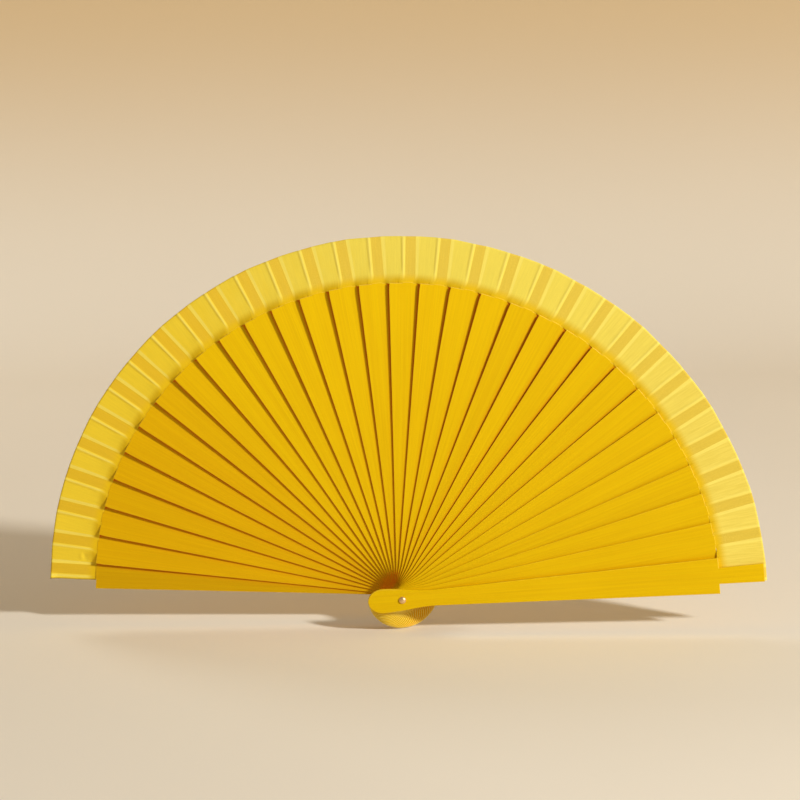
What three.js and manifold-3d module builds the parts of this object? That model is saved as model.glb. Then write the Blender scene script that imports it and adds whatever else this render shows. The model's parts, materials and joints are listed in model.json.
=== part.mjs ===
// A folding hand fan, fully open: thirty painted wooden ribs between two stouter guard sticks,
// all turning on one rivet, with a pleated fabric leaf carried by the narrow tips of the sticks.
//
// Millimetres. +X to the right, +Z up, -Y towards the person looking at the front of the fan.
// The rivet's axis is the Y axis, and y = 0 is the flat back of the rivet's tail.
//
// Everything is drawn lying down first, in a drawing frame where x runs right, y up and z
// towards the viewer, and one group stands the whole fan up. Stick 0 is the front guard, at the
// right; sticks 1 to 30 are the ribs, each one layer further back; stick 31 is the back guard.

import * as THREE from 'three';
import { mergeVertices } from 'three/addons/utils/BufferGeometryUtils.js';
import Module from 'manifold-3d';

const wasm = await Module();
wasm.setup();

// ---- Driving dimensions --------------------------------------------------------------------

const RIB_COUNT = 30;
const BACK_GUARD = RIB_COUNT + 1;     // stick numbers run 0 .. BACK_GUARD

// Turns between neighbouring sticks, fan open
const PITCH_ANGLE = THREE.MathUtils.degToRad(5.55);     // rib to rib
const FRONT_STEP = THREE.MathUtils.degToRad(6.45);      // front guard to its rib
const BACK_STEP = THREE.MathUtils.degToRad(4.75);       // rearmost rib to the back guard
const SPREAD = FRONT_STEP + (RIB_COUNT - 1) * PITCH_ANGLE + BACK_STEP;

// Along a stick, measured from the rivet
const HEAD_LENGTH = 20.2;         // rounded head, behind the rivet
const NECK = 17;                  // narrowest place
const SHOULDER = 184;             // where the blade ends and the tip begins
const TIP_END = 210;

// Across a stick, half widths
const NECK_HALF = 4.7;
const SHOULDER_HALF = 10.65;
const HEAD_HALF = 7.2;
const RIB_TIP_HALF = 2.95;        // a parallel tongue
const GUARD_TIP_ANGLE = THREE.MathUtils.degToRad(1.47);   // a tip bounded by two radial lines

// Through the stack
const GUARD_THICKNESS = 1.9;
const RIB_THICKNESS = 0.8;
const RIB_TIP_THICKNESS = 0.4;    // pared from the front, so that the leaf fits between the ribs
const PARING_START = SHOULDER + 0.4;
const LAYER = 0.92;               // rib to rib
const STICK_GAP = LAYER - RIB_THICKNESS;
const LEAF_THICKNESS = 0.2;
const LEAF_GAP = 0.05;

// Rivet
const SHANK_RADIUS = 1.25;
const BORE_RADIUS = 1.42;         // in every stick
const DOME_RADIUS = 2.15;
const DOME_HEIGHT = 1.3;
const TAIL_RADIUS = 2.2;
const TAIL_THICKNESS = 0.6;
const WASHER_RADIUS = 3.2;
const WASHER_THICKNESS = 0.5;
const RIVET_GAP = 0.05;

// Leaf
const LEAF_INNER = SHOULDER + 0.9;     // clear of the blades' corners
const LEAF_OUTER = 211.5;
const FOLD_ANGLE = PITCH_ANGLE / 4;    // fold lines lie this far to each side of a stick
const TIP_MARGIN = 0.3;                // fabric clears the tongue's edges by this much
const VALLEY_DEPTH = 0.43;             // how far the right-hand fold sinks behind the rib's facet

// ---- Places worked out from them -------------------------------------------------------------

const WASHER_BACK = TAIL_THICKNESS + RIVET_GAP;
const BACK_GUARD_BACK = WASHER_BACK + WASHER_THICKNESS + RIVET_GAP;
const REAR_RIB_BACK = BACK_GUARD_BACK + GUARD_THICKNESS + STICK_GAP;
const BACK_GUARD_TIP_THICKNESS = GUARD_THICKNESS - 2 * (LEAF_THICKNESS + LEAF_GAP);

/** Depth of the back face of stick `i`. */
function stickBack(i) {
  return i === BACK_GUARD ? BACK_GUARD_BACK : REAR_RIB_BACK + (RIB_COUNT - i) * LAYER;
}

/** Direction of stick `i`, counter-clockwise from the right; the fan opens evenly about the top. */
function stickAngle(i) {
  const frontGuard = (Math.PI - SPREAD) / 2;
  if (i === 0) {
    return frontGuard;
  }
  return i === BACK_GUARD
    ? frontGuard + SPREAD
    : frontGuard + FRONT_STEP + (i - 1) * PITCH_ANGLE;
}

const FRONT_GUARD_FRONT = stickBack(0) + GUARD_THICKNESS;

// ---- Materials -------------------------------------------------------------------------------

function paintedWood(colour) {
  return new THREE.MeshStandardMaterial({ color: colour, roughness: 0.5, metalness: 0 });
}

function leafFabric() {
  return new THREE.MeshStandardMaterial({ color: 0xf2cf58, roughness: 0.75, metalness: 0 });
}

function rivetMetal() {
  return new THREE.MeshStandardMaterial({ color: 0xd9c9b4, roughness: 0.3, metalness: 1 });
}

// ---- Sticks ----------------------------------------------------------------------------------

/**
 * Outline of a stick lying along +x with the rivet at the origin: a round head, a neck, a blade
 * that widens evenly to square shoulders, and a narrow tip.
 */
function stickOutline(tipBaseHalf, tipEndHalf) {
  const widest = -0.57 * HEAD_LENGTH;           // where the head is at its widest
  const quarter = 0.5523;                       // Bezier handle that makes a quarter ellipse
  const roundStart = widest - quarter * (HEAD_LENGTH + widest);
  const roundSide = quarter * HEAD_HALF;
  const neckHandle = NECK - 8;
  const headHandle = -3;
  const outline = new THREE.Shape();
  outline.moveTo(TIP_END, tipEndHalf);
  outline.lineTo(SHOULDER, tipBaseHalf);
  outline.lineTo(SHOULDER, SHOULDER_HALF);
  outline.lineTo(NECK, NECK_HALF);
  outline.bezierCurveTo(neckHandle, NECK_HALF, headHandle, HEAD_HALF, widest, HEAD_HALF);
  outline.bezierCurveTo(roundStart, HEAD_HALF, -HEAD_LENGTH, roundSide, -HEAD_LENGTH, 0);
  outline.bezierCurveTo(-HEAD_LENGTH, -roundSide, roundStart, -HEAD_HALF, widest, -HEAD_HALF);
  outline.bezierCurveTo(headHandle, -HEAD_HALF, neckHandle, -NECK_HALF, NECK, -NECK_HALF);
  outline.lineTo(SHOULDER, -SHOULDER_HALF);
  outline.lineTo(SHOULDER, -tipBaseHalf);
  outline.lineTo(TIP_END, -tipEndHalf);
  outline.closePath();
  const bore = new THREE.Path();
  bore.absarc(0, 0, BORE_RADIUS, 0, 2 * Math.PI, true);
  outline.holes.push(bore);
  return outline;
}

/** A three.js geometry as a manifold-3d solid. */
function toSolid(geometry) {
  geometry.deleteAttribute('normal');
  geometry.deleteAttribute('uv');
  const merged = mergeVertices(geometry);
  return new wasm.Manifold(new wasm.Mesh({
    numProp: 3,
    vertProperties: new Float32Array(merged.getAttribute('position').array),
    triVerts: new Uint32Array(merged.getIndex().array),
  }));
}

/** A manifold-3d solid as a three.js geometry. */
function toGeometry(solid) {
  const mesh = solid.getMesh();
  const geometry = new THREE.BufferGeometry();
  geometry.setAttribute('position', new THREE.BufferAttribute(mesh.vertProperties, 3));
  geometry.setIndex(new THREE.BufferAttribute(mesh.triVerts, 1));
  geometry.computeVertexNormals();
  return geometry;
}

/** The outline as a flat plate, its tip pared from the front to `tipThickness`. */
function stickGeometry(outline, thickness, tipThickness, curveSegments) {
  const plate = new THREE.ExtrudeGeometry(outline, {
    depth: thickness,
    bevelEnabled: false,
    curveSegments,
  });
  if (tipThickness === thickness) {
    return plate;
  }
  const overrun = 5;      // the cutter runs off the tip's end
  const length = TIP_END + overrun - PARING_START;
  const paring = new THREE.BoxGeometry(length, 2 * SHOULDER_HALF, thickness);
  paring.translate(PARING_START + length / 2, 0, tipThickness + thickness / 2);
  return toGeometry(toSolid(plate).subtract(toSolid(paring)));
}

/** Stick `i` as a named mesh, turned to its place in the open fan. */
function placedStick(i, name, geometry, material) {
  const stick = new THREE.Mesh(geometry, material);
  stick.name = name;
  stick.position.z = stickBack(i);
  stick.rotation.z = stickAngle(i);
  return stick;
}

function makeGuards() {
  const outline = stickOutline(
    SHOULDER * Math.tan(GUARD_TIP_ANGLE),
    TIP_END * Math.tan(GUARD_TIP_ANGLE),
  );
  const curveSegments = 14;
  const front = stickGeometry(outline, GUARD_THICKNESS, GUARD_THICKNESS, curveSegments);
  const back = stickGeometry(outline, GUARD_THICKNESS, BACK_GUARD_TIP_THICKNESS, curveSegments);
  return [
    placedStick(0, 'front_guard', front, paintedWood(0xe6b503)),
    placedStick(BACK_GUARD, 'back_guard', back, paintedWood(0xcc9603)),
  ];
}

function makeRibs() {
  const outline = stickOutline(RIB_TIP_HALF, RIB_TIP_HALF);
  const curveSegments = 9;
  const geometry = stickGeometry(outline, RIB_THICKNESS, RIB_TIP_THICKNESS, curveSegments);
  const ribs = [];
  for (let i = 1; i <= RIB_COUNT; i += 1) {
    const name = `rib_${String(i).padStart(2, '0')}`;
    ribs.push(placedStick(i, name, geometry, paintedWood(0xecbd05)));
  }
  return ribs;
}

// ---- Leaf ------------------------------------------------------------------------------------

/**
 * Where the leaf runs at stick `i`, as [across, depth of its back] pairs at radius `r`, from the
 * right-hand fold to the left-hand fold. Over a rib the facet lies on the tongue; to its left it
 * steps down behind the tongue, where the free facet on the way to the next stick begins.
 */
function leafStations(i, r) {
  const fold = r * Math.tan(FOLD_ANGLE);
  const clear = RIB_TIP_HALF + TIP_MARGIN;
  const behind = stickBack(i) - LEAF_GAP - LEAF_THICKNESS;
  const tipThickness = i === BACK_GUARD ? BACK_GUARD_TIP_THICKNESS : RIB_TIP_THICKNESS;
  const onTip = stickBack(i) + tipThickness + LEAF_GAP;
  if (i === 0) {
    return [[-fold, behind], [-clear, behind], [clear, behind], [fold, behind]];
  }
  if (i === BACK_GUARD) {
    return [[-fold, onTip], [-clear, onTip], [clear, onTip], [fold, onTip]];
  }
  return [[-fold, onTip - VALLEY_DEPTH], [-clear, onTip], [clear, onTip], [fold, behind]];
}

/** The whole leaf as one thin closed sheet, four fold or step lines to each stick. */
function makeLeaf() {
  const corners = [];       // four to each line: inner back, inner front, outer front, outer back
  for (let i = 0; i <= BACK_GUARD; i += 1) {
    const angle = stickAngle(i);
    const inner = leafStations(i, LEAF_INNER);
    const outer = leafStations(i, LEAF_OUTER);
    for (let k = 0; k < inner.length; k += 1) {
      const alongAndAcross = [[LEAF_INNER, inner[k][0]], [LEAF_OUTER, outer[k][0]]];
      const [atInner, atOuter] = alongAndAcross.map(([along, across]) => [
        along * Math.cos(angle) - across * Math.sin(angle),
        along * Math.sin(angle) + across * Math.cos(angle),
      ]);
      const back = inner[k][1];
      const front = back + LEAF_THICKNESS;
      corners.push(...atInner, back, ...atInner, front, ...atOuter, front, ...atOuter, back);
    }
  }
  const faces = [];
  const lines = corners.length / 12;
  for (let line = 0; line + 1 < lines; line += 1) {
    for (let side = 0; side < 4; side += 1) {
      const next = (side + 1) % 4;
      const a = 4 * line + side;
      const b = 4 * line + next;
      faces.push(a, b, b + 4, a, b + 4, a + 4);
    }
  }
  const last = 4 * (lines - 1);
  faces.push(0, 2, 1, 0, 3, 2, last, last + 1, last + 2, last, last + 2, last + 3);
  const geometry = new THREE.BufferGeometry();
  geometry.setAttribute('position', new THREE.Float32BufferAttribute(corners, 3));
  geometry.setIndex(faces);
  geometry.computeVertexNormals();
  const leaf = new THREE.Mesh(geometry, leafFabric());
  leaf.name = 'leaf';
  return leaf;
}

// ---- Rivet -----------------------------------------------------------------------------------

/** Shank with a domed head at the front and a flat tail, hammered over the washer, at the back. */
function makeRivet() {
  const domeSeat = FRONT_GUARD_FRONT + RIVET_GAP;
  const domeTop = domeSeat + DOME_HEIGHT;
  const domeSteps = 6;
  const profile = [
    new THREE.Vector2(0, 0),
    new THREE.Vector2(TAIL_RADIUS, 0),
    new THREE.Vector2(TAIL_RADIUS, TAIL_THICKNESS),
    new THREE.Vector2(SHANK_RADIUS, TAIL_THICKNESS),
    new THREE.Vector2(SHANK_RADIUS, domeSeat),
  ];
  for (let k = 0; k < domeSteps; k += 1) {
    const t = (k / domeSteps) * (Math.PI / 2);
    const height = domeSeat + DOME_HEIGHT * Math.sin(t);
    profile.push(new THREE.Vector2(DOME_RADIUS * Math.cos(t), height));
  }
  profile.push(new THREE.Vector2(0, domeTop));
  const lathe = new THREE.LatheGeometry(profile, 24);
  const rivet = new THREE.Mesh(lathe, rivetMetal());
  rivet.name = 'rivet';
  rivet.rotation.x = Math.PI / 2;
  return rivet;
}

function makeWasher() {
  const ring = new THREE.Shape();
  ring.absarc(0, 0, WASHER_RADIUS, 0, 2 * Math.PI, false);
  const bore = new THREE.Path();
  bore.absarc(0, 0, BORE_RADIUS, 0, 2 * Math.PI, true);
  ring.holes.push(bore);
  const geometry = new THREE.ExtrudeGeometry(ring, {
    depth: WASHER_THICKNESS,
    bevelEnabled: false,
    curveSegments: 12,
  });
  const washer = new THREE.Mesh(geometry, rivetMetal());
  washer.name = 'rear_washer';
  washer.position.z = WASHER_BACK;
  return washer;
}

// ---- The fan, stood up -----------------------------------------------------------------------

const fan = new THREE.Group();
fan.add(...makeGuards(), ...makeRibs(), makeLeaf(), makeRivet(), makeWasher());
fan.rotation.x = Math.PI / 2;

export default fan;
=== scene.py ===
"""Looks of an open folding hand fan: painted wooden sticks on one rivet, a pleated fabric leaf.

Everything is in metres, in the frame of the CAD model: +X right, +Z up, -Y towards the viewer.
"Depth" below means distance towards the viewer, so depth = -y. "Along" and "across" are measured
on a stick: along its axis from the rivet, and square to it, counter-clockwise seen from the front.
A stick is a round head on the rivet, a neck, a widening blade that ends in two square shoulders,
and beyond them a narrow tongue that carries the leaf. Nothing is random: every small irregularity
comes from fixed sines of the stick's number.
"""

import json
import math

import bmesh
import bpy
import numpy as np
from mathutils import Matrix, Vector


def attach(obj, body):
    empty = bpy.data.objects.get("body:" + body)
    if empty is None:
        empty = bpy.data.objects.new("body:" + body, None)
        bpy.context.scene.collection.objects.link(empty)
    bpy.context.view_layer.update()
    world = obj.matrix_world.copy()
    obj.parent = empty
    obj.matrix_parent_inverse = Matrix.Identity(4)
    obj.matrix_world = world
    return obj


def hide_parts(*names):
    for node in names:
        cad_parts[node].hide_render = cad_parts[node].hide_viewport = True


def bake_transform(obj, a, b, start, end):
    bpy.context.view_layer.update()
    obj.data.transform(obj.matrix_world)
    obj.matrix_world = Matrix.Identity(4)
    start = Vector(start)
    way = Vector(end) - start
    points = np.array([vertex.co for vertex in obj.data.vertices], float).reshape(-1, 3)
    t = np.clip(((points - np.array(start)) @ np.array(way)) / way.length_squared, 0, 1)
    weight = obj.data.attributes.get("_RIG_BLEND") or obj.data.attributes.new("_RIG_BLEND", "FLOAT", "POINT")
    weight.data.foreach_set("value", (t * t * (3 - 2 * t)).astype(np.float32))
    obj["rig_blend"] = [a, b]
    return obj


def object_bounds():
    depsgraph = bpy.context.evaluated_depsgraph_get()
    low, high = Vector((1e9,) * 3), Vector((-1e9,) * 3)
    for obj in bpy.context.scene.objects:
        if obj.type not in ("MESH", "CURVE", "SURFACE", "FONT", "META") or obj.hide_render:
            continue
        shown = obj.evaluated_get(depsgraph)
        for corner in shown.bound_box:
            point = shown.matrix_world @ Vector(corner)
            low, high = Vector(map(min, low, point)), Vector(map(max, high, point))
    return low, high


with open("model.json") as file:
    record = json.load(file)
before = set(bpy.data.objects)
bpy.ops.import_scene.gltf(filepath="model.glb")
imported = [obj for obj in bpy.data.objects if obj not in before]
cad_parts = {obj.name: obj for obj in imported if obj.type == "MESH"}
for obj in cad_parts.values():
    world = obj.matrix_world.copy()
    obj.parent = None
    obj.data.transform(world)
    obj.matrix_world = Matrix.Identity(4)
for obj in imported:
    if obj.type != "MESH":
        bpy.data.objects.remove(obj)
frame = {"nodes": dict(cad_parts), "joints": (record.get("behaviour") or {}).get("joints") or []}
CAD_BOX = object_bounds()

MM = 0.001

# ---- Layout, read from the frame ------------------------------------------------------------

TURNS = {j["child"]: math.radians(j["range_deg"][1]) for j in frame["joints"]}
SPREAD = TURNS["front_guard"]
RIBS = sorted(n for n in frame["nodes"] if n.startswith("rib_"))
STICKS = ["front_guard"] + RIBS + ["back_guard"]
BACK_GUARD_ANGLE = (math.pi + SPREAD) / 2


def stick_angle(node):
    """Direction of a stick in the open fan, counter-clockwise from +X seen from the front."""
    return BACK_GUARD_ANGLE - TURNS.get(node, 0.0)


def stick_weight(node):
    """Share of the fan's closing turn that this stick makes: 0 at the back guard, 1 at the front."""
    return TURNS.get(node, 0.0) / SPREAD


def local_points(node):
    """A stick's CAD vertices as columns (along, across, depth)."""
    co = np.array([v.co for v in frame["nodes"][node].data.vertices])
    a = stick_angle(node)
    along = co[:, 0] * math.cos(a) + co[:, 2] * math.sin(a)
    across = -co[:, 0] * math.sin(a) + co[:, 2] * math.cos(a)
    return np.column_stack([along, across, -co[:, 1]])


def tip_of(node):
    """Half width, back depth and front depth of a stick's narrow tip."""
    points = local_points(node)
    tip = points[points[:, 0] > points[:, 0].max() - 1 * MM]
    return np.abs(tip[:, 1]).max(), tip[:, 2].min(), tip[:, 2].max()


LEAF_CO = np.array([v.co for v in frame["nodes"]["leaf"].data.vertices])
LEAF_INNER = np.hypot(LEAF_CO[:, 0], LEAF_CO[:, 2]).min()
LEAF_OUTER = LEAF_CO[:, 2].max()
PITCH = stick_angle(RIBS[1]) - stick_angle(RIBS[0])


# ---- Node tree helpers ------------------------------------------------------------------------

class Tree:
    """Short calls for building one material's node tree."""

    def __init__(self, name):
        self.material = bpy.data.materials.new(name)
        self.material.use_nodes = True
        self.nodes = self.material.node_tree.nodes
        self.links = self.material.node_tree.links
        self.nodes.clear()

    def add(self, kind, inputs=None, **settings):
        node = self.nodes.new(kind)
        for key, value in settings.items():
            setattr(node, key, value)
        for key, value in (inputs or {}).items():
            self.put(node.inputs[key], value)
        return node

    def put(self, socket, value):
        if isinstance(value, bpy.types.NodeSocket):
            self.links.new(value, socket)
        elif isinstance(value, tuple) and len(value) == 3 and socket.type == "RGBA":
            socket.default_value = (*value, 1.0)
        else:
            socket.default_value = value

    def math(self, operation, a, b=0.0):
        node = self.add("ShaderNodeMath", operation=operation)
        self.put(node.inputs[0], a)
        self.put(node.inputs[1], b)
        return node.outputs[0]

    def ramp(self, value, low, high, to_low=0.0, to_high=1.0):
        """to_low up to low, to_high from high on, and a smooth change between."""
        node = self.add("ShaderNodeMapRange", {"Value": value, "From Min": low, "From Max": high,
                                               "To Min": to_low, "To Max": to_high},
                        interpolation_type="SMOOTHSTEP")
        return node.outputs[0]

    def mix(self, factor, a, b, blend="MIX"):
        node = self.add("ShaderNodeMix", data_type="RGBA", blend_type=blend)
        self.put(node.inputs[0], factor)
        self.put(node.inputs[6], a)
        self.put(node.inputs[7], b)
        return node.outputs[2]

    def noise(self, vector, scale, detail=3.0, roughness=0.5):
        node = self.add("ShaderNodeTexNoise", {"Vector": vector, "Scale": scale, "Detail": detail,
                                               "Roughness": roughness})
        return node.outputs["Fac"]

    def of_object(self, name):
        """A number stored on each object as a custom property."""
        node = self.add("ShaderNodeAttribute", attribute_type="OBJECT", attribute_name=name)
        return node.outputs["Fac"]

    def rgb(self, red, green, blue):
        return self.add("ShaderNodeCombineColor", {0: red, 1: green, 2: blue}).outputs[0]

    def stretch(self, vector, scale):
        node = self.add("ShaderNodeVectorMath", {0: vector, 1: scale}, operation="MULTIPLY")
        return node.outputs[0]

    def shift(self, vector, offset):
        node = self.add("ShaderNodeVectorMath", {0: vector, 1: offset}, operation="ADD")
        return node.outputs[0]

    def finish(self, shader):
        self.add("ShaderNodeOutputMaterial", {"Surface": shader})
        return self.material


def srgb(r, g, b):
    """An 8-bit sRGB colour as linear values."""
    def linear(c):
        c /= 255
        return c / 12.92 if c <= 0.04045 else ((c + 0.055) / 1.055) ** 2.4
    return tuple(linear(c) for c in (r, g, b))


# ---- Painted wood -----------------------------------------------------------------------------

PAINT = srgb(227, 188, 4)
PAINT_DEEP = srgb(222, 180, 3)
PAINT_WARM = srgb(230, 190, 5)
PAINT_SHADE_LINE = srgb(220, 88, 0)                # painted shade cast by one blade's raised edge onto the next
PAINT_SHADE_HEADS = srgb(255, 105, 10)       # painted shade in the dark wedge between the heads
PAINT_PALE = srgb(238, 206, 44)
BARE_WOOD = srgb(244, 216, 124)
# nearly bare end grain round the heads, made paler as painted highlight on their edges
END_GRAIN_GLINT = srgb(240, 216, 104)
PAINT_GLINT = srgb(255, 226, 150)

# Noise cells per metre, (along the stick, through it, across it)
GRAIN = (9.0, 200.0, 900.0)
FINE_GRAIN = (30.0, 600.0, 3200.0)
CLOUDS = (14.0, 14.0, 60.0)
WEAR = (120.0, 300.0, 300.0)

SHADE_REACH = 3.5 * MM                          # how near the next stick has to be for the painted shade
SHADE_OPEN, SHADE_TIGHT = 0.975, 0.55            # share of open air where the painted shade starts and is full
GRAIN_RELIEF = 0.06 * MM


class PaintedWood:
    """Satin paint over wood: grain runs along each stick, the paint thins on ends and edges, and light and
    shade are painted in: on each stick's tone, where blades meet, and as highlight on the heads' end grain.
    """

    def __init__(self, name, worn_edge):
        self.tree = t = Tree(name)
        self.worn_edge = worn_edge
        place = t.add("ShaderNodeTexCoord")
        self.angle = t.of_object("stick_angle")
        turned = [t.add("ShaderNodeVectorRotate", {"Vector": place.outputs[out], "Angle": self.angle},
                        rotation_type="Y_AXIS").outputs[0] for out in ("Object", "Normal")]
        self.along = t.add("ShaderNodeSeparateXYZ", {0: turned[0]}).outputs[0]
        normal = t.add("ShaderNodeSeparateXYZ", {0: turned[1]}).outputs
        self.facing_out = normal[0]
        self.facing_viewer = t.ramp(normal[1], -0.7, -0.2, 1.0, 0.0)
        seed = t.of_object("stick_seed")
        offset = t.add("ShaderNodeCombineXYZ", {"X": seed, "Y": seed, "Z": seed}).outputs[0]
        self.place = t.shift(turned[0], offset)
        self.streaks = t.noise(t.stretch(self.place, GRAIN), 1.0, 4.0, 0.6)
        self.fine = t.noise(t.stretch(self.place, FINE_GRAIN), 1.0, 3.0, 0.6)

    def paint(self):
        """Grain, slow clouds and the stick's own tone, with painted light: brighter towards the top of the
        fan, darker and more orange on the left.
        """
        t = self.tree
        clouds = t.noise(t.stretch(self.place, CLOUDS), 1.0, 2.0, 0.5)
        colour = t.mix(t.ramp(self.streaks, 0.34, 0.68), PAINT_DEEP, PAINT)
        colour = t.mix(t.math("MULTIPLY", t.ramp(clouds, 0.4, 0.75), 0.45), colour, PAINT_WARM)
        tone = t.ramp(self.fine, 0.3, 0.7, 0.965, 1.03)
        red, green = (t.math("MULTIPLY", tone, t.of_object(key))
                      for key in ("stick_light_and_tone", "stick_green_light_and_tone"))
        return t.mix(1.0, colour, t.rgb(red, green, tone), "MULTIPLY")

    def painted_shade(self, colour):
        """Painted shade: brown lines where one blade shades the next, strongest at the top and left of the
        fan, faint on the right-hand sticks, on heads and on edges, and red-brown in the dark wedge between
        the heads.
        """
        t = self.tree
        tight = t.add("ShaderNodeAmbientOcclusion", {"Distance": SHADE_REACH}, samples=8).outputs["AO"]
        tight = t.ramp(tight, SHADE_TIGHT, SHADE_OPEN, 1.0, 0.0)
        # the painted shade is strongest on sticks whose left edges face away from the light from the upper
        # right
        by_angle = t.ramp(self.angle, math.radians(30), math.radians(64), 0.1, 1.0)
        inside = t.math("MULTIPLY", t.ramp(self.along, 12 * MM, 18 * MM, 1.0, 0.0),
                        t.ramp(self.angle, math.radians(64), math.radians(92)))
        by_place = t.math("MAXIMUM", inside, t.ramp(self.along, 15 * MM, 36 * MM, 0.35, 1.0))
        off_head = t.ramp(t.ramp(self.along, -2 * MM, 10 * MM), 0.0, 1.0, 0.3, 1.0)
        by_side = t.ramp(self.facing_viewer, 0.0, 1.0, 0.4, 0.45 if self.worn_edge else 1.0)
        amount = tight
        for part in (by_angle, by_place, off_head, by_side):
            amount = t.math("MULTIPLY", amount, part)
        return t.mix(amount, colour, t.mix(inside, PAINT_SHADE_LINE, PAINT_SHADE_HEADS))

    def worn(self, colour):
        """Rubbed paint on the blades' edges, and nearly bare end grain round the heads, made paler as
        painted highlight on their edges.
        """
        t = self.tree
        wear = t.noise(t.stretch(self.place, WEAR), 1.0, 3.0, 0.6)
        rubbed = t.math("MULTIPLY", t.ramp(wear, 0.35, 0.7, 0.15, 0.75),
                        t.ramp(self.along, 15 * MM, 80 * MM))
        colour = t.mix(rubbed, colour, PAINT_PALE)
        # round the heads: pale end grain, partly real and partly painted highlight on edges that catch the
        # light
        head = t.math("MULTIPLY", t.ramp(self.along, -4 * MM, 2 * MM, 1.0, 0.0),
                      t.of_object("stick_bare_head_glint"))
        head = t.math("MULTIPLY", head, t.ramp(self.facing_viewer, 0.0, 1.0, 0.3, 0.95))
        return t.mix(head, colour, END_GRAIN_GLINT)

    def material(self):
        t = self.tree
        # the stick's paint with its painted light, then the painted shade where blades meet
        colour = self.painted_shade(self.paint())
        colour = t.mix(t.math("MULTIPLY", t.ramp(self.facing_out, 0.45, 0.8), 0.8), colour, BARE_WOOD)
        if self.worn_edge:
            colour = self.worn(colour)
        relief = t.math("ADD", t.math("MULTIPLY", self.streaks, 0.7),
                        t.math("MULTIPLY", self.fine, 0.3))
        bump = t.add("ShaderNodeBump", {"Height": relief, "Strength": 0.35, "Distance": GRAIN_RELIEF})
        shader = t.add("ShaderNodeBsdfPrincipled", {
            "Base Color": colour, "Roughness": t.ramp(self.streaks, 0.3, 0.7, 0.56, 0.46),
            "Specular IOR Level": 0.22, "Specular Tint": PAINT_GLINT, "Normal": bump.outputs[0]})
        return t.finish(shader.outputs[0])


WOOD = PaintedWood("painted_wood", worn_edge=False).material()
WOOD_EDGE = PaintedWood("painted_wood_edge", worn_edge=True).material()


# ---- Sticks -------------------------------------------------------------------------------------

BLADE = local_points("front_guard")
WIDER_THAN_TONGUE = 7 * MM
SHOULDER = BLADE[np.abs(BLADE[:, 1]) > WIDER_THAN_TONGUE, 0].max()
BLADE_HALF = np.abs(BLADE[:, 1]).max()
BLADE_THICKNESS = np.ptp(local_points(RIBS[0])[:, 2])
BLADE_REACH = math.hypot(SHOULDER, BLADE_HALF) + 0.05 * MM
NECK_START, NECK_END = -3 * MM, 20 * MM
TWIST = 0.05                  # radians at the shoulders: the leaf's pull lifts each left edge
TWIST_GAIN = 1.1              # how much stronger it is at the back of the stack
TWIST_SPREAD = 0.0045         # from stick to stick
LEAN = 1.6 * MM               # sideways bend of the tongues over most of the fan
LEAN_BACK = 0.25 * MM         # and the little the other way near the front guard
HAIR = 0.01 * MM              # for "equal" and "just beside"
TWIST_FULL_AT = 26            # place in the stack from which the twist is at its strongest
TWIST_RISE = 1.7              # power of its growth along a stick
TONGUE_GAP = 0.4 * MM         # the paring of the tongue starts this far beyond the shoulders
SHARP = math.radians(35)      # edges sharper than this are rounded
GUARD_ROUNDING, RIB_ROUNDING = 0.5 * MM, 0.38 * MM
HEAD_SHARE, BLADE_SHARE, TIP_SHARE = 1.0, 0.6, 0.35    # shares of that rounding


def ease(x):
    """0 below 0, 1 above 1, and a smooth change between."""
    x = np.clip(x, 0.0, 1.0)
    return x * x * (3 - 2 * x)


def twist_at(node, along):
    """How far a stick is turned about its own axis, its left edge towards the viewer."""
    order = STICKS.index(node)
    stronger = 1 + TWIST_GAIN * min(order / TWIST_FULL_AT, 1.0)
    own = TWIST * stronger + TWIST_SPREAD * math.sin(2.7 * order) * math.cos(1.3 * order)
    return own * np.maximum(along / SHOULDER, 0) ** TWIST_RISE


def lean_at(node, along):
    """How far the leaf's tension bends a rib's tongue sideways, towards the front guard."""
    if node.endswith("guard"):
        return 0 * along
    order = STICKS.index(node)
    most = LEAN * ease((order - 4) / 8) - LEAN_BACK
    return -most * ease((along - SHOULDER + 2 * MM) / (7 * MM))


def stick_outline(node):
    """The CAD stick's outline as (along, across) pairs, and its back, front and tip's front depth."""
    points = local_points(node)
    back, front = points[:, 2].min(), points[:, 2].max()
    on_back = points[np.abs(points[:, 2] - back) < HAIR]
    rim = on_back[np.hypot(on_back[:, 0], on_back[:, 1]) > 2 * MM]    # without the rivet's hole
    left = sorted({(round(float(u), 6), round(float(v), 6)) for u, v, _ in rim if v > HAIR},
                  key=lambda q: (q[0], -q[1]))
    paring = SHOULDER + 0.2 * MM, SHOULDER + 1 * MM                   # these points are cut again later
    left = [q for q in left if not paring[0] < q[0] < paring[1]]
    head = float(rim[:, 0].min())
    outline = [(head, 0.0)] + left + [(u, -v) for u, v in reversed(left)]
    return outline, back, front, tip_of(node)[2]


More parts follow.
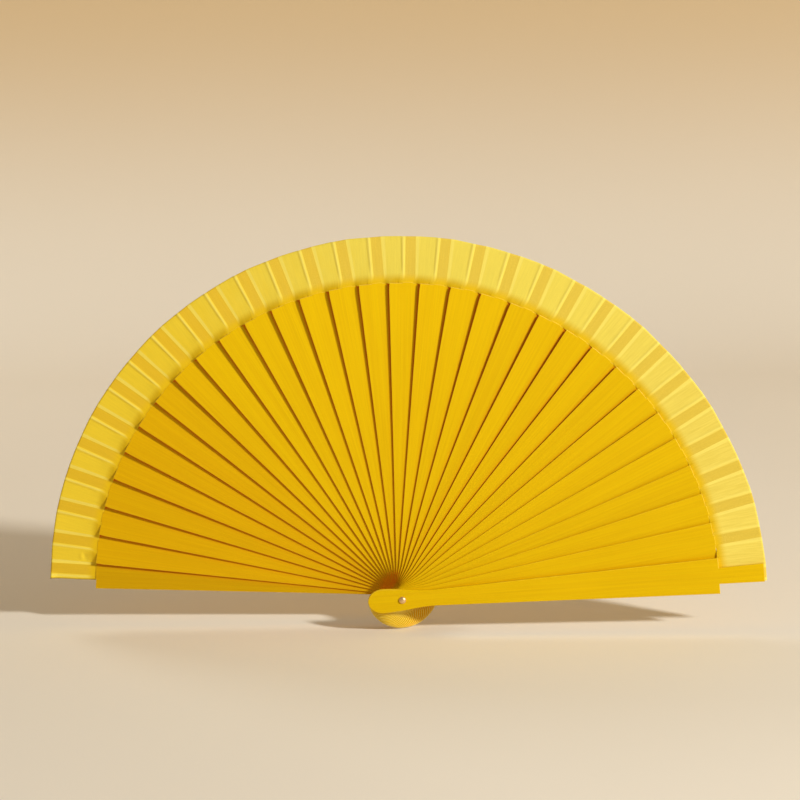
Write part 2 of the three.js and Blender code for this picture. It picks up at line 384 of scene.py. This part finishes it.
def stick_mesh(node, name):
    """A flat stick of the CAD outline, pared at the tip and twisted a little along its length."""
    outline, back, front, tip_front = stick_outline(node)
    shape = bmesh.new()
    shape.faces.new([shape.verts.new((u, v, 0)) for u, v in outline])
    end = max(u for u, _ in outline)
    step = SHOULDER + TONGUE_GAP
    blade_cuts = np.linspace(NECK_END, SHOULDER - 4 * MM, 22)
    tongue_cuts = np.linspace(step, end, 6)[1:-1]
    for cut in (*blade_cuts, step - HAIR, step + HAIR, *tongue_cuts):
        bmesh.ops.bisect_plane(shape, geom=shape.verts[:] + shape.edges[:] + shape.faces[:],
                               plane_co=(cut, 0, 0), plane_no=(1, 0, 0))
    made = bmesh.ops.extrude_face_region(shape, geom=shape.faces[:])
    upper = {v for v in made["geom"] if isinstance(v, bmesh.types.BMVert)}
    a = stick_angle(node)
    for v in shape.verts:
        along, across, _ = v.co
        depth = back
        if v in upper:
            depth = tip_front if along > step else front
        depth += across * float(twist_at(node, along))
        across += float(lean_at(node, along))
        v.co = (along * math.cos(a) - across * math.sin(a), -depth,
                along * math.sin(a) + across * math.cos(a))
    bmesh.ops.recalc_face_normals(shape, faces=shape.faces[:])
    bevel = shape.edges.layers.float.new("bevel_weight_edge")
    for edge in shape.edges:
        if len(edge.link_faces) == 2 and edge.calc_face_angle() > SHARP:
            reach = max(Vector((v.co.x, 0, v.co.z)).length for v in edge.verts)
            at_head = max(v.co.x * math.cos(a) + v.co.z * math.sin(a) for v in edge.verts) < NECK_START
            past_head = TIP_SHARE if reach > BLADE_REACH else BLADE_SHARE
            edge[bevel] = HEAD_SHARE if at_head else past_head
    mesh = bpy.data.meshes.new(name)
    shape.to_mesh(mesh)
    shape.free()
    return mesh


def stick_light_and_tone(order, node):
    """Brightness of a stick's paint: painted light, fullest at the top and darker at the left as the light
    falls, with a small tone of the stick's own so none are quite alike.
    """
    degrees = math.degrees(stick_angle(node))
    lit_top, shaded_left = math.exp(-((degrees - 100) / 38) ** 2), float(ease((degrees - 120) / 28))
    tone = 0.975 + 0.06 * lit_top - 0.025 * shaded_left
    tone *= 1.0 + 0.014 * math.sin(2.4 * order) * math.cos(0.9 * order)
    # painted shadow: the back guard darker still
    return tone * (0.85 if node == "back_guard" else 1.0)


def stick_green_light_and_tone(order, node):
    """The same for the paint's green: the left-hand sticks are more orange, as painted shade."""
    degrees = math.degrees(stick_angle(node))
    return stick_light_and_tone(order, node) * (1.0 - 0.1 * float(ease((degrees - 122) / 26)))


def add_stick(order, node):
    """One wooden stick in place of its CAD node, on the same body."""
    name = node + "_wood"
    guard = node.endswith("guard")
    mesh = stick_mesh(node, name)
    for material in (WOOD, WOOD_EDGE):
        mesh.materials.append(material)
    for polygon in mesh.polygons:
        polygon.use_smooth = True
    stick = bpy.data.objects.new(name, mesh)
    bpy.context.scene.collection.objects.link(stick)
    stick["stick_angle"] = stick_angle(node)
    stick["stick_seed"] = 0.37 * order
    # how much of the pale end grain and its painted highlight a head gets
    stick["stick_bare_head_glint"] = 0.15 if guard else 1.0
    # painted light and shade, with each stick's own small tone
    stick["stick_light_and_tone"] = stick_light_and_tone(order, node)
    stick["stick_green_light_and_tone"] = stick_green_light_and_tone(order, node)
    edges = stick.modifiers.new("rounded_edges", "BEVEL")
    edges.width = GUARD_ROUNDING if guard else RIB_ROUNDING
    edges.segments = 3
    edges.limit_method = "WEIGHT"
    edges.material = 1
    edges.use_clamp_overlap = False
    normals = stick.modifiers.new("flat_faces", "WEIGHTED_NORMAL")
    normals.weight = 100
    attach(stick, node)
    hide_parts(node)


for order, node in enumerate(STICKS):
    add_stick(order, node)


# ---- Leaf ---------------------------------------------------------------------------------------

FABRIC = 0.15 * MM            # thickness
PRESSED = 0.07 * MM           # thickness where it is pinched between two blades
FOLD_ANGLE = PITCH / 4        # right-hand folds lie this far from their tongue
LEFT_FOLD_ANGLE = PITCH * 0.3
TIP_CLEARANCE = 0.12 * MM     # beyond the edges of the tongue under the fabric
SHEET_GAP = 0.015 * MM        # fabric to wood
VALLEY = 0.2 * MM             # sink of the right-hand fold behind the facet on the rib
STEP_DOWN = 0.1 * MM          # sink of the left-hand fold
RIDGE = 0.09 * MM             # rise of the fabric where it bends off the tongue's left edge
HELD = 0.3                    # how far free facets follow the raised corner of the blade over them
TUCK = 0.9 * MM               # how far they reach in behind that blade
FOOT_OVERLAP = 0.6 * MM       # how far their foot reaches over the next blade, beside that edge
WITH_BLADE = 12 * MM          # length over which the left margins follow the blade's twist
GUARD_BAND = 3.1 * MM         # half width of the glued band on the guards' tips
ALONG_STEPS = 38              # points from foot to rim
BACK_GUARD_ORDER = len(STICKS) - 1


def hump(x, centre, width):
    """A smooth bump of height 1."""
    return np.exp(-((x - centre) / width) ** 2)


def point_on(node, along, across):
    """x and z of a point given on a stick."""
    a = stick_angle(node)
    return (along * math.cos(a) - across * math.sin(a), along * math.sin(a) + across * math.cos(a))


class Sheet:
    """The pleated fabric as radial lines of points, from the front guard to the back guard."""

    def __init__(self):
        self.parts = {key: [] for key in ("x", "z", "depth", "thick", "weight", "glue", "crease_highlight",
                                          "along", "across")}

    def line(self, xz, along, depth, weight, glue, crease_highlight, across, thick=FABRIC):
        values = {"x": xz[0], "z": xz[1], "depth": depth, "thick": thick, "weight": weight,
                  "glue": glue, "crease_highlight": crease_highlight, "along": along, "across": across}
        for key, value in values.items():
            self.parts[key].append(value + 0 * along)

    def grid(self, key):
        return np.array(self.parts[key])


def radial_steps(inner, outer):
    """Distances from the rivet, closer together near the inner edge."""
    return inner + (outer - inner) * np.linspace(0, 1, ALONG_STEPS) ** 1.25


def leftness(i):
    """0 on the right-hand sticks, where the leaf lies low, to 1 on the left-hand ones."""
    return float(ease((i - 3) / 9))


def rim(i, share):
    """Outer edge of the leaf: its cut edge wanders a little from fold to fold."""
    here, after = (math.sin(7.3 * k) * math.cos(3.1 * k) for k in (i, i + 1))
    return LEAF_OUTER - 0.25 * MM + 0.22 * MM * (here + (after - here) * share)


def fold_at(i, side, along):
    """Distance of a fold line from the stick's axis; no fold is quite straight."""
    wander = 0.13 * MM * np.sin(along / (8 * MM) + 2.1 * i + 0.9 * side)
    return along * math.tan(LEFT_FOLD_ANGLE if side > 0 else FOLD_ANGLE) + wander


def crumple(i, share, along):
    """Marks on the last facets: a dimple by the back guard and a lifted outer corner on its tip."""
    if i == BACK_GUARD_ORDER - 1:
        dimple, lip = hump(along, 191.2 * MM, 1.7 * MM), hump(along, 193.4 * MM, 0.9 * MM)
        return (-0.4 * MM * dimple + 0.3 * MM * lip) * hump(share, 0.5, 0.3)
    if i == BACK_GUARD_ORDER:
        return 0.9 * MM * ease((along - 206.5 * MM) / (5 * MM)) * ease((share - 0.55) / 0.45)
    return 0 * along


def add_facet_on_stick(sheet, i, node, run):
    """Margin up from the right-hand fold, glued band on the tongue, margin to the left-hand fold."""
    half, back, front = tip_of(node)
    weight = stick_weight(node)
    first, last = i == 0, i == BACK_GUARD_ORDER
    flat = first or last
    on_tip = back - SHEET_GAP - FABRIC / 2 if first else front + SHEET_GAP + FABRIC / 2
    band = GUARD_BAND if flat else half + TIP_CLEARANCE
    along = radial_steps(SHOULDER + (0.04 if flat else -0.03) * MM, rim(i, 0))
    lean = lean_at(node, along)
    right, left = fold_at(i, -1, along), fold_at(i, 1, along)
    twist = twist_at(node, along)
    valley = twist * -right if flat else -VALLEY
    with_blade = leftness(i) * (1 - ease((along - SHOULDER) / WITH_BLADE))
    landing = twist * left if flat else twist * left * with_blade - STEP_DOWN
    ridge = 0.0 if flat else RIDGE

    def line(across, rise, glue, crease_highlight):
        bend = crumple(i, across[-1] / left[-1] / 2 + 0.5, along) if last else 0.0
        sheet.line(point_on(node, along, across + lean), along, on_tip + rise + bend, weight,
                   glue, crease_highlight, run + across)

    # the last number given to each line is the painted highlight along the folds
    for t in np.linspace(0, 1, 8)[:-1]:
        line(-right + (right - band) * t, valley + (twist * -band - valley) * t, 0.0, 1.0 - 0.4 * t)
    for t in np.linspace(-1, 1, 9)[:-1]:
        line(band * t + 0 * along, twist * band * t, 1.0, 0.0)
    for t in np.linspace(0, 1, 11):
        rise = twist * band + (landing - twist * band) * ease((t - 0.3) / 0.7)
        line(band + (left - band) * t, rise + ridge * hump(t, 0.35, 0.28), 0.0, hump(t, 0.3, 0.25))
    if last:
        edge = half / local_points(node)[:, 0].max() * along
        for beyond, drop in ((0.02, 0.0), (0.12, 0.04), (0.17, 0.14), (0.18, 0.6)):
            line(edge + beyond * MM, twist * left - drop * MM, 1.0, 0.0)
    return left, on_tip + landing


def add_free_facet(sheet, i, fold, fold_depth, run):
    """From a stick's left-hand fold, behind its blade's edge, to the next stick's right-hand fold.

    Returns the length of fabric from this stick's axis to the next one's.
    """
    node, after = STICKS[i], STICKS[i + 1]
    back = tip_of(node)[1]
    turn = stick_angle(after) - stick_angle(node)
    gap = turn - FOLD_ANGLE - LEFT_FOLD_ANGLE
    blade_edge = (math.asin(BLADE_HALF / SHOULDER) - LEFT_FOLD_ANGLE) / gap    # share it hides
    weight, next_weight = stick_weight(node), stick_weight(after)
    next_on_tip = tip_of(after)[2] + SHEET_GAP + FABRIC / 2
    next_front = tip_of(after)[1] + BLADE_THICKNESS
    for t in np.linspace(0, 1, 19)[1:-1]:
        hidden = t < blade_edge - 0.04
        from_next = turn - FOLD_ANGLE - gap * t
        over = FOOT_OVERLAP * (1 - ease((t - blade_edge) / 0.4))
        inner = SHOULDER - TUCK if hidden else (SHOULDER + 0.04 * MM) / math.cos(from_next) - over
        along = radial_steps(inner, rim(i, t))
        next_fold = fold_at(i + 1, -1, along)
        sink = twist_at(after, along) * -next_fold if i + 1 == BACK_GUARD_ORDER else -VALLEY
        start = point_on(node, along, fold_at(i, 1, along) + lean_at(node, along))
        end = point_on(after, along, lean_at(after, along) - next_fold)
        xz = tuple(s + (e - s) * t for s, e in zip(start, end))
        share = t if i > 0 else ease((t - 0.6) / 0.4)
        depth = fold_depth + (next_on_tip + sink - fold_depth) * share + crumple(i, t, along)
        thick = FABRIC
        if i > 0:
            # The raised corner of the blade over it holds the foot of the facet up
            held = HELD * leftness(i) * (1 - ease((along - SHOULDER - 0.1 * MM) / (2.6 * MM)))
            held = held * (1 - ease((t - blade_edge) / (1 - blade_edge)))
            reach = math.sin(LEFT_FOLD_ANGLE + gap * min(t, blade_edge))
            lift = twist_at(node, along) * np.hypot(*start) * reach
            depth = depth + (back - 0.06 * MM + lift - depth) * held
            # On the right the foot settles on the next blade instead
            next_across = -along * math.sin(from_next)
            resting = next_front + 0.1 * MM + twist_at(after, along) * next_across
            settled = (1 - leftness(i)) * (1 - ease((along - SHOULDER - 0.2 * MM) / (2.5 * MM)))
            settled = settled * ease((t - blade_edge + 0.12) / 0.12)
            depth = depth + np.minimum(resting - depth, 0) * settled
        if hidden and i > 0:
            # Behind the blade it is pressed thin and stays under the blade's back
            pinched = 1 - ease((along - SHOULDER - 0.1 * MM) / (0.8 * MM))
            thick = FABRIC + (PRESSED - FABRIC) * pinched
            ceiling = back - 0.02 * MM - thick / 2 + lift
            depth = depth - np.maximum(depth - ceiling, 0) * pinched
        width = np.hypot(end[0] - start[0], end[1] - start[1])
        sheet.line(xz, along, depth, weight + (next_weight - weight) * t, 0.0, 0.0,
                   run + fold + width * t, thick)
    return 2 * float(fold[-1]) + float(width[-1])


def leaf_sheet():
    """The whole leaf. "run" is the length of fabric laid so far, which places the texture."""
    sheet = Sheet()
    run = 0.0
    for i, node in enumerate(STICKS):
        fold, fold_depth = add_facet_on_stick(sheet, i, node, run)
        if i < BACK_GUARD_ORDER:
            run += add_free_facet(sheet, i, fold, fold_depth, run)
    return sheet


def sheet_mesh(name, sheet):
    """The sheet as a thin closed solid: a front and a back layer joined round the edge."""
    cols, rows = sheet.grid("x").shape
    layers = []
    for side in (0.5, -0.5):
        depth = sheet.grid("depth") + side * sheet.grid("thick")
        layers.append(np.stack([sheet.grid("x"), -depth, sheet.grid("z")], -1).reshape(-1, 3))
    layer = rows * cols
    faces = []
    for c in range(cols - 1):
        for r in range(rows - 1):
            a, b = c * rows + r, (c + 1) * rows + r
            faces.append((a, a + 1, b + 1, b))
            faces.append((layer + a, layer + b, layer + b + 1, layer + a + 1))
        a, b = c * rows, (c + 1) * rows
        faces.append((a, b, layer + b, layer + a))
        a, b = a + rows - 1, b + rows - 1
        faces.append((a, layer + a, layer + b, b))
    for r in range(rows - 1):
        faces.append((r, layer + r, layer + r + 1, r + 1))
        a = (cols - 1) * rows + r
        faces.append((a, a + 1, layer + a + 1, layer + a))
    mesh = bpy.data.meshes.new(name)
    mesh.from_pydata(np.vstack(layers).tolist(), [], faces)
    for key in ("glue", "crease_highlight"):
        values = np.tile(sheet.grid(key).ravel(), 2).astype(np.float32)
        mesh.attributes.new(key, "FLOAT", "POINT").data.foreach_set("value", values)
    place = np.stack([sheet.grid("along").ravel(), sheet.grid("across").ravel(),
                      0 * sheet.grid("x").ravel()], -1)
    mesh.attributes.new("place", "FLOAT_VECTOR", "POINT").data.foreach_set(
        "vector", np.vstack([place, place]).astype(np.float32).ravel())
    for polygon in mesh.polygons:
        polygon.use_smooth = True
    return mesh, np.tile(sheet.grid("weight").ravel(), 2).astype(np.float32)


PANEL = srgb(243, 222, 100)
PANEL_EDGE = srgb(239, 216, 90)
# painted sheen on the right-hand part of the leaf; the deep yellows are the left-hand part without that
# sheen
PANEL_SHEEN = srgb(252, 233, 96)
PANEL_DEEP = srgb(254, 221, 44)
# painted highlight along the folds
CREASE_HIGHLIGHT = srgb(253, 237, 116)
GLUED = srgb(230, 203, 78)
GLUED_DARK = srgb(220, 190, 66)
GLUED_DEEP = srgb(230, 188, 32)
OVERSPRAY = srgb(232, 192, 14)
FABRIC_GLINT = srgb(255, 240, 190)
FABRIC_STREAKS = (60.0, 1100.0, 1.0)      # noise cells per metre, (along, across, unused)
FABRIC_CLOUDS = (120.0, 160.0, 1.0)
FABRIC_MOTTLE = (1500.0, 2600.0, 1.0)
FOOT_TINT = 5.5 * MM                      # the golden foot fades out this far from the inner edge
THREAD = 0.26 * MM                        # two threads of the weave
CLOUD_SHIFT = 60 * MM                     # how far clouds move the borders between the yellows
SHEEN_FROM, SHEEN_TO = 0.1, 0.3           # lengths of leaf from the front guard where the painted sheen
DEEP_FROM, DEEP_TO = 0.34, 0.54           # and the deep yellows, where that sheen is painted out, come in
FABRIC_RELIEF = 0.12 * MM


def leaf_fabric():
    """Thin woven fabric: lighter where free, mottled where glued to the wood, golden at its foot, with
    painted sheen towards the right-hand end and painted highlights along the folds.
    """
    t = Tree("leaf_fabric")
    place = t.add("ShaderNodeAttribute", attribute_name="place").outputs["Vector"]
    glue = t.add("ShaderNodeAttribute", attribute_name="glue").outputs["Fac"]
    crease_highlight = t.add("ShaderNodeAttribute", attribute_name="crease_highlight").outputs["Fac"]
    xyz = t.add("ShaderNodeSeparateXYZ", {0: place})
    along, across = xyz.outputs[0], xyz.outputs[1]
    streaks = t.noise(t.stretch(place, FABRIC_STREAKS), 1.0, 3.0, 0.6)
    clouds = t.noise(t.stretch(place, FABRIC_CLOUDS), 1.0, 3.0, 0.55)
    mottle = t.noise(t.stretch(place, FABRIC_MOTTLE), 1.0, 4.0, 0.65)
    free = t.mix(t.ramp(streaks, 0.3, 0.7), PANEL_EDGE, PANEL)
    spread = t.math("ADD", across, t.math("MULTIPLY", clouds, CLOUD_SHIFT))
    # painted sheen: the free fabric paler towards the right-hand end, where the light falls, deeper yellow
    # towards the left
    free = t.mix(t.ramp(spread, SHEEN_FROM, SHEEN_TO), free, PANEL_SHEEN)
    saturated = t.ramp(spread, DEEP_FROM, DEEP_TO, 0.0, 0.85)
    free = t.mix(saturated, free, PANEL_DEEP)
    # painted highlight along the folds, where they turn towards the light
    free = t.mix(t.math("MULTIPLY", crease_highlight, 0.7), free, CREASE_HIGHLIGHT)
    glued = t.mix(t.ramp(mottle, 0.42, 0.62), GLUED_DARK, GLUED)
    # the same painted sheen, and its absence, on the glued bands
    glued = t.mix(saturated, glued, GLUED_DEEP)
    colour = t.mix(t.ramp(glue, 0.2, 0.8), free, glued)
    foot = t.ramp(along, float(LEAF_INNER), float(LEAF_INNER) + FOOT_TINT, 1.0, 0.0)
    foot = t.math("MULTIPLY", foot, t.ramp(clouds, 0.2, 0.6, 0.8, 1.0))
    colour = t.mix(foot, colour, OVERSPRAY)
    warp, weft = (t.math("SINE", t.math("MULTIPLY", x, 2 * math.pi / THREAD))
                  for x in (across, along))
    weave = t.math("MULTIPLY", warp, weft)
    shade = t.add("ShaderNodeMapRange", {"Value": weave, "From Min": -1.0, "From Max": 1.0,
                                         "To Min": 0.95, "To Max": 1.03}).outputs[0]
    shade = t.math("MULTIPLY", shade, t.ramp(streaks, 0.32, 0.68, 0.972, 1.018))
    colour = t.mix(1.0, colour, t.rgb(shade, shade, shade), "MULTIPLY")
    wrinkle = t.math("ADD", t.math("MULTIPLY", streaks, 0.5),
                     t.math("MULTIPLY", mottle, t.math("MULTIPLY", glue, 0.5)))
    height = t.math("ADD", wrinkle, t.math("MULTIPLY", weave, 0.05))
    bump = t.add("ShaderNodeBump", {"Height": height, "Strength": 0.6, "Distance": FABRIC_RELIEF})
    cloth = t.add("ShaderNodeBsdfPrincipled", {
        "Base Color": colour, "Roughness": 0.62, "Specular IOR Level": 0.25,
        "Specular Tint": FABRIC_GLINT, "Sheen Weight": 0.12, "Sheen Roughness": 0.4,
        "Normal": bump.outputs[0]})
    through = t.add("ShaderNodeBsdfTranslucent", {"Color": colour, "Normal": bump.outputs[0]})
    share = t.ramp(glue, 0.0, 1.0, 0.08, 0.03)
    both = t.add("ShaderNodeMixShader", {0: share, 1: cloth.outputs[0], 2: through.outputs[0]})
    return t.finish(both.outputs[0])


def build_leaf():
    """The leaf in place of its CAD node; each point turns with its own share of the fan's opening."""
    mesh, weight = sheet_mesh("leaf_fabric", leaf_sheet())
    leaf = bpy.data.objects.new("leaf_fabric", mesh)
    bpy.context.scene.collection.objects.link(leaf)
    mesh.materials.append(leaf_fabric())
    # Any straight blend first: its weights are then replaced by each point's own
    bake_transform(leaf, "back_guard", "front_guard", start=Vector((0, 0, 0)), end=Vector((0.1, 0, 0)))
    mesh.attributes["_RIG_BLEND"].data.foreach_set("value", weight)
    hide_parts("leaf")


build_leaf()


# ---- Rivet --------------------------------------------------------------------------------------

COPPER_DULL, COPPER_BRIGHT = srgb(226, 186, 132), srgb(240, 208, 156)
SCRATCHES, DULL_PATCHES = (900.0, 900.0, 5000.0), 700.0      # noise cells per metre
SCRATCH_RELIEF = 0.02 * MM
WELD_REACH = 0.002 * MM
RIVET_ROUNDING = 0.08 * MM


def rivet_metal():
    """Copper-coloured metal, finely scratched and a little dull."""
    t = Tree("rivet_metal")
    place = t.add("ShaderNodeTexCoord").outputs["Object"]
    scratches = t.noise(t.stretch(place, SCRATCHES), 1.0, 4.0, 0.6)
    dull = t.noise(place, DULL_PATCHES, 3.0, 0.6)
    colour = t.mix(t.ramp(dull, 0.3, 0.7), COPPER_DULL, COPPER_BRIGHT)
    bump = t.add("ShaderNodeBump", {"Height": scratches, "Strength": 0.3, "Distance": SCRATCH_RELIEF})
    shader = t.add("ShaderNodeBsdfPrincipled", {
        "Base Color": colour, "Metallic": 0.85, "Roughness": t.ramp(dull, 0.3, 0.7, 0.36, 0.5),
        "Normal": bump.outputs[0]})
    return t.finish(shader.outputs[0])


METAL = rivet_metal()
for node in ("rivet", "rear_washer"):
    piece = frame["nodes"][node]
    piece.data.materials.clear()
    piece.data.materials.append(METAL)
    for polygon in piece.data.polygons:
        polygon.use_smooth = True
    weld = piece.modifiers.new("weld", "WELD")
    weld.merge_threshold = WELD_REACH
    edges = piece.modifiers.new("rounded_edges", "BEVEL")
    edges.width = RIVET_ROUNDING
    edges.segments = 2
    edges.limit_method = "ANGLE"
    edges.angle_limit = SHARP
    edges.use_clamp_overlap = False
    piece.modifiers.new("flat_faces", "WEIGHTED_NORMAL")


# ---- Stage, light and camera --------------------------------------------------------------------

FLOOR_Z = CAD_BOX[0][2] - 0.2 * MM
WALL_FULL = 0.35                                        # the wall's own colour from this height up
FLOOR_A, FLOOR_B = srgb(238, 231, 216), srgb(242, 236, 222)
WALL, AIR = srgb(215, 189, 147), srgb(222, 200, 166)
SWEEP_FRONT, SWEEP_BACK, SWEEP_TOP = -5.0, 1.4, 2.2     # y, y and height of the paper sweep
SWEEP_RADIUS, SWEEP_HALF, SWEEP_STEPS = 0.5, 5.0, 12
FAN_MIDDLE = Vector((0, -17 * MM, 100 * MM))
KEY_OFF_AXIS, KEY_RISE = math.radians(56), math.radians(30)
KEY_DISTANCE, KEY_SIZE, KEY_POWER, KEY_COLOUR = 3.0, 0.29, 91, (1.0, 0.98, 0.95)
BACK_PLACE, BACK_SIZE, BACK_POWER, BACK_COLOUR = (-0.9, 1.0, 1.1), 0.7, 5, (1.0, 0.97, 0.92)
WORLD_FILL, WORLD_STRENGTH = (1.0, 0.79, 0.55, 1.0), 0.22
VIEW_TARGET = Vector((1.26 * MM, CAD_BOX[0][1] + 1.35 * MM, 118.17 * MM))
VIEW_DISTANCE, LENS = 1.784, 139.5
YAW, ELEVATION, ROLL = math.radians(-3.51), math.radians(9.64), math.radians(-1.32)


def studio_paper():
    """Pale paper, warmer up the wall; its reverse is clear to the camera, for views from behind it."""
    t = Tree("studio_paper")
    place = t.add("ShaderNodeTexCoord").outputs["Object"]
    tone = t.noise(place, 3.0, 2.0, 0.5)
    height = t.add("ShaderNodeSeparateXYZ", {0: place}).outputs[2]
    colour = t.mix(tone, FLOOR_A, FLOOR_B)
    colour = t.mix(t.ramp(height, FLOOR_Z, FLOOR_Z + WALL_FULL), colour, WALL)
    shader = t.add("ShaderNodeBsdfPrincipled", {"Base Color": colour, "Roughness": 0.8,
                                                "Specular IOR Level": 0.1})
    clear = t.add("ShaderNodeBsdfTransparent")
    behind = t.math("MULTIPLY", t.add("ShaderNodeNewGeometry").outputs["Backfacing"],
                    t.add("ShaderNodeLightPath").outputs["Is Camera Ray"])
    both = t.add("ShaderNodeMixShader", {0: behind, 1: shader.outputs[0], 2: clear.outputs[0]})
    return t.finish(both.outputs[0])


def studio():
    """Floor and wall in one sweep of paper."""
    bend = SWEEP_BACK - SWEEP_RADIUS
    profile = [(SWEEP_FRONT, FLOOR_Z)]
    for k in range(SWEEP_STEPS + 1):
        a = k / SWEEP_STEPS * math.pi / 2
        profile.append((bend + SWEEP_RADIUS * math.sin(a), FLOOR_Z + SWEEP_RADIUS * (1 - math.cos(a))))
    profile.append((SWEEP_BACK, SWEEP_TOP))
    verts = [(x, y, z) for y, z in profile for x in (-SWEEP_HALF, SWEEP_HALF)]
    faces = [(2 * k, 2 * k + 1, 2 * k + 3, 2 * k + 2) for k in range(len(profile) - 1)]
    mesh = bpy.data.meshes.new("studio")
    mesh.from_pydata(verts, [], faces)
    mesh.materials.append(studio_paper())
    for polygon in mesh.polygons:
        polygon.use_smooth = True
    sweep = bpy.data.objects.new("studio", mesh)
    bpy.context.scene.collection.objects.link(sweep)


def area_light(name, place, size, power, colour):
    """A round light aimed at the middle of the fan."""
    data = bpy.data.lights.new(name, "AREA")
    data.shape = "DISK"
    data.size = size
    data.energy = power
    data.color = colour
    light = bpy.data.objects.new(name, data)
    light.location = place
    light.rotation_euler = (FAN_MIDDLE - Vector(place)).to_track_quat("-Z", "Y").to_euler()
    bpy.context.scene.collection.objects.link(light)


def lights():
    """A small key from the right as in the photo, a weak light behind and a warm even fill."""
    key_direction = Vector((math.sin(KEY_OFF_AXIS) * math.cos(KEY_RISE), -math.cos(KEY_OFF_AXIS),
                            math.sin(KEY_OFF_AXIS) * math.sin(KEY_RISE)))
    area_light("key", FAN_MIDDLE + KEY_DISTANCE * key_direction, KEY_SIZE, KEY_POWER, KEY_COLOUR)
    area_light("back_fill", BACK_PLACE, BACK_SIZE, BACK_POWER, BACK_COLOUR)
    world = bpy.data.worlds.new("studio_air")
    world.use_nodes = True
    tree = world.node_tree
    fill = tree.nodes["Background"]
    fill.inputs["Color"].default_value = WORLD_FILL
    fill.inputs["Strength"].default_value = WORLD_STRENGTH
    seen = tree.nodes.new("ShaderNodeBackground")
    seen.inputs["Color"].default_value = (*AIR, 1.0)
    path = tree.nodes.new("ShaderNodeLightPath")
    either = tree.nodes.new("ShaderNodeMixShader")
    tree.links.new(path.outputs["Is Camera Ray"], either.inputs[0])
    tree.links.new(fill.outputs[0], either.inputs[1])
    tree.links.new(seen.outputs[0], either.inputs[2])
    tree.links.new(either.outputs[0], tree.nodes["World Output"].inputs[0])
    bpy.context.scene.world = world


def camera():
    """The photo's view, fitted on the sticks' edges and the leaf's rim."""
    look = Vector((math.sin(YAW) * math.cos(ELEVATION), math.cos(YAW) * math.cos(ELEVATION),
                   -math.sin(ELEVATION)))
    data = bpy.data.cameras.new("camera")
    data.sensor_width = 36
    data.lens = LENS
    data.clip_end = 20
    eye = bpy.data.objects.new("camera", data)
    turn = look.to_track_quat("-Z", "Y").to_matrix().to_4x4() @ Matrix.Rotation(ROLL, 4, "Z")
    eye.matrix_world = Matrix.Translation(VIEW_TARGET - VIEW_DISTANCE * look) @ turn
    bpy.context.scene.collection.objects.link(eye)
    bpy.context.scene.camera = eye


studio()
lights()
camera()
bpy.context.scene.view_settings.view_transform = "Standard"
